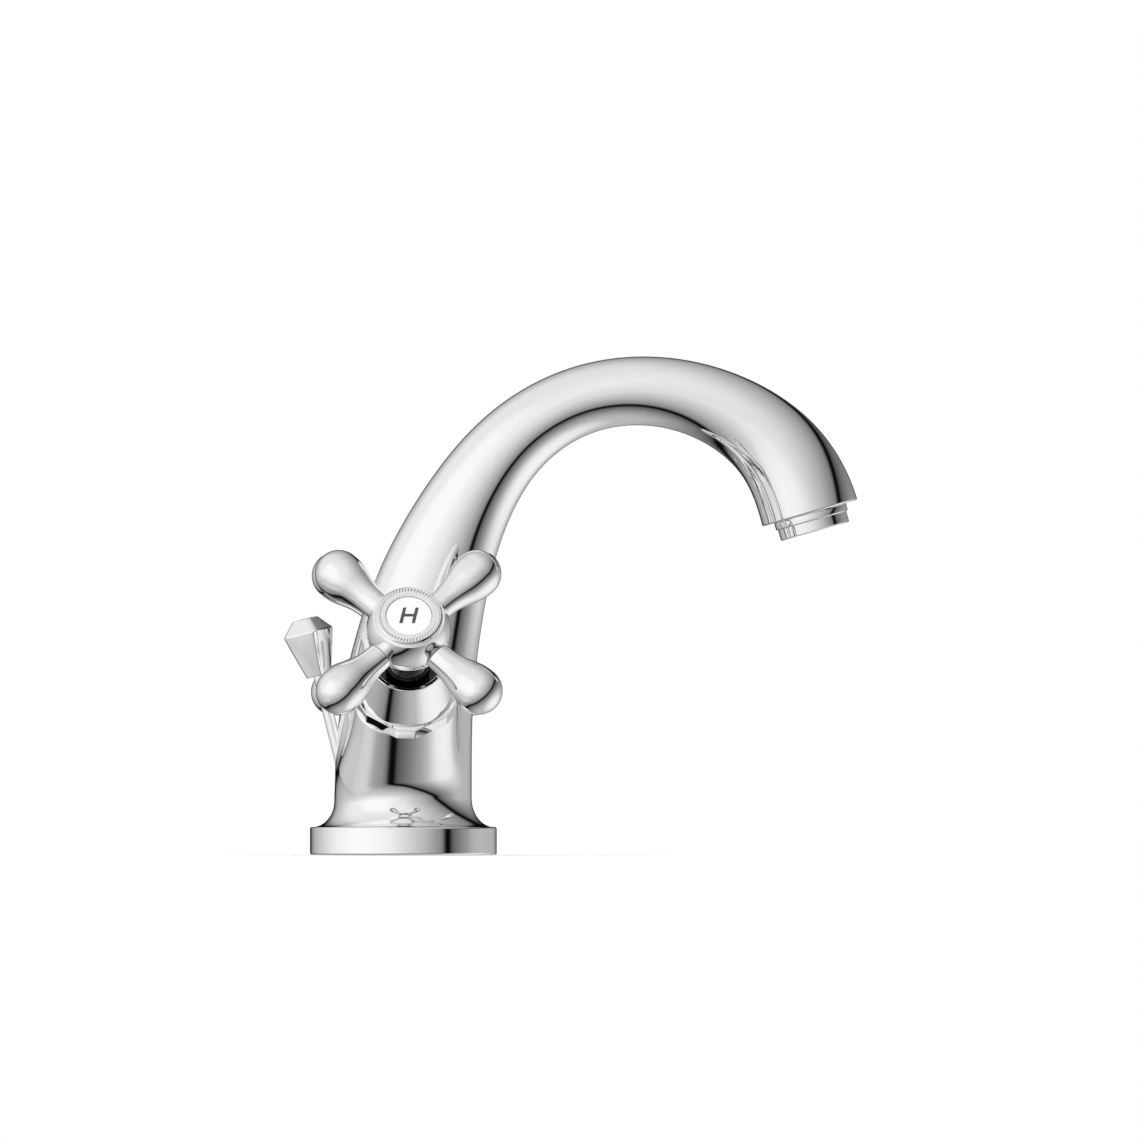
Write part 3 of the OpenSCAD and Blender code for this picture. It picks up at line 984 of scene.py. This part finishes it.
def disc_mesh():
    """Porcelain disc: rounded edge and a slightly crowned face."""
    pts = [(0.0, 69.3), (7.2, 69.3), (7.28, 69.38), (7.28, 70.35)]
    for a in np.linspace(0, 90, 7)[1:]:
        a = math.radians(a)
        pts.append((6.98 + 0.3 * math.cos(a), 70.35 + 0.22 * math.sin(a)))
    for r in np.linspace(6.7, 0, 18):
        pts.append((r, 70.92 - 0.34 * (r / 7.0) ** 2))
    pts[-1] = (0.0, 70.92)
    V, F = lathe(pts, 144)
    if volume(V, F) < 0:
        F = [list(reversed(f)) for f in F]
    return V, F


DV, DF = disc_mesh()


def letter_mesh(ch):
    """A plain letter, a thin raised enamel on the disc, in local mm."""
    cu = bpy.data.curves.new("letter", "FONT")
    cu.body = ch
    cu.size = 8.2
    cu.shear = 0.22
    cu.extrude = 0.09
    cu.offset = 0.1
    cu.resolution_u = 6
    cu.align_x = "CENTER"
    cu.align_y = "CENTER"
    o = bpy.data.objects.new("letter", cu)
    scene.collection.objects.link(o)
    dg = bpy.context.evaluated_depsgraph_get()
    me = bpy.data.meshes.new_from_object(o.evaluated_get(dg))
    v = np.array([x.co for x in me.vertices], float)
    f = [list(p.vertices) for p in me.polygons]
    bpy.data.objects.remove(o)
    c = (v.min(0) + v.max(0)) / 2
    v[:, 0] -= c[0]
    v[:, 1] -= c[1]
    r2 = (v[:, 0] ** 2 + v[:, 1] ** 2) / 49.0
    v[:, 2] += 70.99 - 0.34 * r2
    return v, f


for s, pl in SIDE.items():
    hb = HANDLE[s]
    flip = pl.mirror
    to_object(s + "_bonnet_chrome", pl(BV), BF, None, None, CHROME, BODY,
              [s + "_bonnet"], flip=flip)
    # hub with exact corner normals
    F_ = HF
    LN = turn_to_world(pl, HL)
    if flip:
        F_ = [list(reversed(f)) for f in HF]
        pos, parts = 0, []
        for f in HF:
            parts.append(LN[pos:pos + len(f)][::-1])
            pos += len(f)
        LN = np.vstack(parts)
    hub = to_object(s + "_hub_chrome", pl(HV), F_, None, None, CHROME, hb,
                    [s + "_hub"])
    set_loop_normals(hub, LN)
    for k in range(4):
        a = math.radians(45 + 90 * k)
        d = np.array([math.cos(a), math.sin(a), 0])
        sd = np.array([-math.sin(a), math.cos(a), 0])
        loc = Place((0, 0, 61.0), sd, np.cross(d, sd), d)
        to_object("%s_arm_%d_chrome" % (s, k + 1), pl(loc(AV)), AF, None, None,
                  CHROME, hb, ["%s_arm_%d" % (s, k + 1)], flip=flip)
    allv = np.vstack([RV, QV])
    allf = RF + [[i + len(RV) for i in f] for f in QF]
    to_object(s + "_index_ring_chrome", pl(allv), allf, None, None, CHROME_FINE, hb,
              [s + "_index_ring"], flip=flip)
    to_object(s + "_index_disc_porcelain", pl(DV), DF, None, None, PORCELAIN, hb,
              [s + "_index_disc"], flip=flip)
    lv, lf = letter_mesh("H" if s == "hot" else "C")
    if pl.mirror:
        lv[:, 0] *= -1
        lf = [list(reversed(f)) for f in lf]
    lo_ = to_object(s + "_index_letter", pl(lv), lf, None, [True] * len(lf), LETTER,
                    hb, flip=flip)


# ---------------------------------------------------------------- lift rod
TILT = math.radians(14)
ROD = Place((-12.7, 0, 0), (math.cos(TILT), 0, math.sin(TILT)), (0, 1, 0),
            (-math.sin(TILT), 0, math.cos(TILT)))
outline = fillet([(0.0, 1.4, 0), (1.3, 1.4, 0.1), (1.8, 2.0, 0.1), (1.8, 62.0, 0),
                  (0.0, 62.0, 0)], 20)
rows = []
for i in range(len(outline) - 1):
    a, b = outline[i], outline[i + 1]
    k = 24 if abs(b[1] - a[1]) > 10 else 1
    for j in range(k):
        rows.append(a + (b - a) * j / k)
rows.append(outline[-1])
v, f = lathe(np.array(rows), 56)
if volume(v, f) < 0:
    f = [list(reversed(q)) for q in f]
to_object("lift_rod_chrome", ROD(v), f, None, None, CHROME, "pop_up_rod",
          ["lift_rod"])


def knob_mesh():
    """Square lantern with rounded edges: sides, broad rim and low roof."""
    n = 240
    th = np.arange(n) * 2 * math.pi / n
    rot = math.radians(-76)

    def section(flat, corner, full):
        """Radius of a square with rounded corners, half width flat."""
        p = np.cos(((th - rot) % (math.pi / 2)) - math.pi / 4)
        # point on the rounded square in direction angle from a corner
        ang = ((th - rot + math.pi / 4) % (math.pi / 2)) - math.pi / 4
        # ang 0 is the corner
        c = flat - corner
        r_flat = flat / np.cos(math.pi / 4 - np.abs(ang))
        cc = c * math.sqrt(2)
        disc = corner ** 2 - (cc * np.sin(ang)) ** 2
        r_arc = cc * np.cos(ang) + np.sqrt(np.maximum(disc, 0))
        tx = r_flat * np.sin(math.pi / 4 - np.abs(ang))
        r = np.where(np.abs(tx) > c, r_arc, r_flat)
        # faces a little full
        return r * (1 + full * (1 - np.minimum(np.abs(tx) / flat, 1) ** 2))

    prof = fillet([(0.0, 58.8, 0), (3.2, 58.8, 0.35), (6.25, 73.0, 0.9),
                   (3.25, 77.5, 0.5), (0.0, 77.6, 0)], 9)
    dense = []
    for i in range(len(prof) - 1):
        a, b = prof[i], prof[i + 1]
        k = max(1, int(np.linalg.norm(b - a) / 0.9))
        for j in range(k):
            dense.append(a + (b - a) * j / k)
    dense.append(prof[-1])
    V, F, rings, count = [], [], [], 0
    for w, z in dense:
        if w < 1e-6:
            V.append(np.array([[0, 0, z]]))
            rings.append([count])
            count += 1
            continue
        r = section(w, 0.42 * w if w < 3 else 0.9 + 0.12 * w,
                    0.085 * max(0.3, 1 - ((z - 66) / 8.5) ** 2))
        V.append(np.stack([r * np.cos(th), r * np.sin(th), np.full(n, z)], 1))
        rings.append(list(range(count, count + n)))
        count += n
    for A, B in zip(rings, rings[1:]):
        for j in range(n):
            k = (j + 1) % n
            if len(A) == 1:
                F.append([A[0], B[k], B[j]])
            elif len(B) == 1:
                F.append([A[j], A[k], B[0]])
            else:
                F.append([A[j], A[k], B[k], B[j]])
    V = np.vstack(V)
    if volume(V, F) < 0:
        F = [list(reversed(q)) for q in F]
    return V, F


v, f = knob_mesh()
to_object("lift_knob_chrome", ROD(v), f, None, None, CHROME, "pop_up_rod",
          ["lift_knob"])

# ---------------------------------------------------------------- aerator
TIP = math.radians(15.75)
SPOUT = Place((129.8, 0, 109.0), (math.cos(TIP), 0, math.sin(TIP)), (0, 1, 0),
              (-math.sin(TIP), 0, math.cos(TIP)))
pts = [(8.8, -6.1, 0.0), (11.0, -6.1, 0.0), (11.32, -5.75, 0.15), (11.32, -2.5, 0.1),
       (11.7, -2.42, 0.0)]
pts += [(11.9, -2.2, 0.0), (11.9, 0.4, 0.0), (11.45, 0.7, 0.0), (11.45, 0.9, 0.0)]
z = 1.2
while z < 7.6:
    pts += [(11.9, z, 0.0), (11.9, z + 0.25, 0.0), (11.45, z + 0.5, 0.0), (11.45, z + 0.75, 0.0)]
    z += 1.0
pts += [(11.4, 8.0, 0.0), (9.8, 8.0, 0.0), (9.8, -4.8, 0.0), (8.8, -5.0, 0.0)]
v, f = lathe(fillet(pts, 20), 180, closed=True)
if volume(v, f) < 0:
    f = [list(reversed(q)) for q in f]
to_object("aerator_housing_chrome", SPOUT(v), f, None, None, CHROME, BODY,
          ["aerator_housing"])

# ---------------------------------------------------------------- CAD nodes that stay
record_slots = {}
for sp in frame["record"].get("subparts", []):
    record_slots[sp.get("node") or sp.get("name")] = sp.get("material_slot")
for name, node in frame["nodes"].items():
    if node.hide_render:
        continue
    slot = record_slots.get(name)
    mat = SLOT_MATERIAL.get(slot, STEEL)
    # The headwork and spindle get the near-black metal in place of their slot's material: painted shade for the
    # gap under the hub
    if name.endswith("_headwork") or name.endswith("_spindle"):
        mat = DARK_METAL_PAINTED_SHADE
    node.data.materials.clear()
    node.data.materials.append(mat)

# ---------------------------------------------------------------- floor, light, camera
me = bpy.data.meshes.new("floor")
R = 0.62
ring = [(0.055 + R * math.cos(a), R * math.sin(a), -0.0002)
        for a in np.linspace(0, 2 * math.pi, 97)[:-1]]
me.from_pydata(ring, [], [list(range(96))])
floor = bpy.data.objects.new("floor", me)
scene.collection.objects.link(floor)
m, nt, b = nodes_of("floor_pale")
vec = coords(nt)
n1 = noise(nt, vec, 30.0, 3.0)
nt.links.new(mix_colour(nt, n1, (0.9, 0.9, 0.9), (0.92, 0.92, 0.92)), b.inputs["Base Color"])
nt.links.new(ramp(nt, n1, 0.5, 0.6), b.inputs["Roughness"])
b.inputs["Specular IOR Level"].default_value = 0.0
me.materials.append(m)
floor.visible_glossy = False

world = bpy.data.worlds.new("studio")
scene.world = world
world.use_nodes = True
wt = world.node_tree
wt.nodes.clear()
out = wt.nodes.new("ShaderNodeOutputWorld")
bg = wt.nodes.new("ShaderNodeBackground")
wt.links.new(bg.outputs["Background"], out.inputs["Surface"])


def direction(az, el):
    az, el = math.radians(az), math.radians(el)
    return (math.sin(az) * math.cos(el), -math.cos(az) * math.cos(el), math.sin(el))


def grey(v):
    """Linear value of a display grey level."""
    v = v / 255
    return v / 12.92 if v <= 0.04045 else ((v + 0.055) / 1.055) ** 2.4


def wmath(op, a, b=None):
    n = wt.nodes.new("ShaderNodeMath")
    n.operation = op
    for i, x in enumerate((a, b)):
        if x is None:
            continue
        if isinstance(x, (int, float)):
            n.inputs[i].default_value = x
        else:
            wt.links.new(x, n.inputs[i])
    return n.outputs[0]


gen = wt.nodes.new("ShaderNodeTexCoord").outputs["Generated"]


def angle_from(az, el):
    """Angle in degrees between the ray and a direction of the room."""
    d = wt.nodes.new("ShaderNodeVectorMath")
    d.operation = "DOT_PRODUCT"
    wt.links.new(gen, d.inputs[0])
    d.inputs[1].default_value = direction(az, el)
    c = wmath("MINIMUM", wmath("MAXIMUM", d.outputs["Value"], -1.0), 1.0)
    return wmath("MULTIPLY", wmath("ARCCOSINE", c), 180 / math.pi)


def levels(x, stops):
    """Piecewise line through (x, value) pairs."""
    lo, hi = stops[0][0], stops[-1][0]
    r = wt.nodes.new("ShaderNodeValToRGB")
    e = r.color_ramp.elements
    e[0].position, e[1].position = 0, 1
    for i, (p, v) in enumerate(stops):
        el = e[0] if i == 0 else e[-1] if i == len(stops) - 1 else e.new((p - lo) / (hi - lo))
        el.color = (v, v, v, 1)
    wt.links.new(wmath("DIVIDE", wmath("SUBTRACT", x, lo), hi - lo), r.inputs["Fac"])
    return r.outputs["Color"]


# A dark edge runs round the room as a tilted circle: a bright wall and ceiling
# on its outer side, the pale table top inside it.
ring_at = wmath("SUBTRACT", angle_from(125, -41.5), 76.5)
ring_at = wmath("ADD", ring_at, levels(angle_from(-146, -34), [(0, 8.0), (12, 7.0), (40, 0), (180, 0)]))
room = levels(ring_at, [(p, grey(v)) for p, v in (
    (-76, 200), (-49, 188), (-35, 182), (-28, 168), (-21, 150), (-15, 130), (-9, 104),
    (-6, 78), (-4.5, 40), (-3.6, 12), (-0.6, 12), (0.8, 60), (2.5, 112), (4, 130),
    (6, 145), (10, 155), (13.5, 166), (20, 184), (28, 200), (38, 219), (51, 243),
    (62, 254), (104, 255))])
sep = wt.nodes.new("ShaderNodeSeparateXYZ")
wt.links.new(gen, sep.inputs[0])
lift = levels(sep.outputs["Z"], [(-1, 1.0), (0.0, 1.0), (0.21, 0.893), (0.44, 0.865),
                                 (0.64, 0.852), (0.94, 0.79), (1, 0.768)])
behind = levels(angle_from(180, 4), [(0, 0.0), (10, 0.05), (18, 0.45), (26, 0.85), (34, 1), (180, 1)])
table = levels(angle_from(112, -38), [(p, grey(v)) for p, v in (
    (0, 247), (12, 243), (22, 234), (30, 212), (37, 187), (46, 162), (60, 90), (90, 0),
    (180, 0))])
low_wall = levels(angle_from(-85, -42), [(p, grey(v)) for p, v in (
    (0, 214), (15, 208), (28, 180), (40, 120), (55, 0), (180, 0))])
window = levels(angle_from(-50, 16), [(p, grey(v)) for p, v in (
    (0, 255), (20, 252), (33, 240), (47, 216), (61, 185), (76, 150), (110, 80), (180, 0))])
near_wall = levels(ring_at, [(-76, 0), (8, 0), (20, 0.45), (40, 1), (104, 1)])
near_low = levels(ring_at, [(-76, 0), (2, 0), (9, 0.4), (20, 1), (104, 1)])
near_table = levels(ring_at, [(-76, 1), (-28, 1), (-20, 0.8), (-10, 0.3), (-4, 0), (104, 0)])
room = wmath("MULTIPLY", room, lift)
room = wmath("MAXIMUM", room, wmath("MULTIPLY", table, near_table))
room = wmath("MAXIMUM", room, wmath("MULTIPLY", window, near_wall))
room = wmath("MAXIMUM", room, wmath("MULTIPLY", low_wall, near_low))
room = wmath("MULTIPLY", room, behind)
path = wt.nodes.new("ShaderNodeLightPath")
level = wmath("MAXIMUM", room, path.outputs["Is Camera Ray"])
level = wmath("MAXIMUM", level, wmath("MULTIPLY", path.outputs["Is Diffuse Ray"], 1.28))
wt.links.new(level, bg.inputs["Color"])

AZ, EL, DIST = -1.1, -0.4, 10.125
cam = bpy.data.cameras.new("camera")
camo = bpy.data.objects.new("camera", cam)
scene.collection.objects.link(camo)
cam.lens = 1000
cam.sensor_width = 36
cam.clip_end = 200
a, e = math.radians(AZ), math.radians(EL)
backv = Vector((math.sin(a) * math.cos(e), -math.cos(a) * math.cos(e), math.sin(e)))
target = Vector((0.0535, 0.0, 0.0905))
camo.location = target + backv * DIST
camo.rotation_mode = "QUATERNION"
camo.rotation_quaternion = (-backv).to_track_quat("-Z", "Y")
scene.camera = camo
scene.view_settings.view_transform = "Standard"
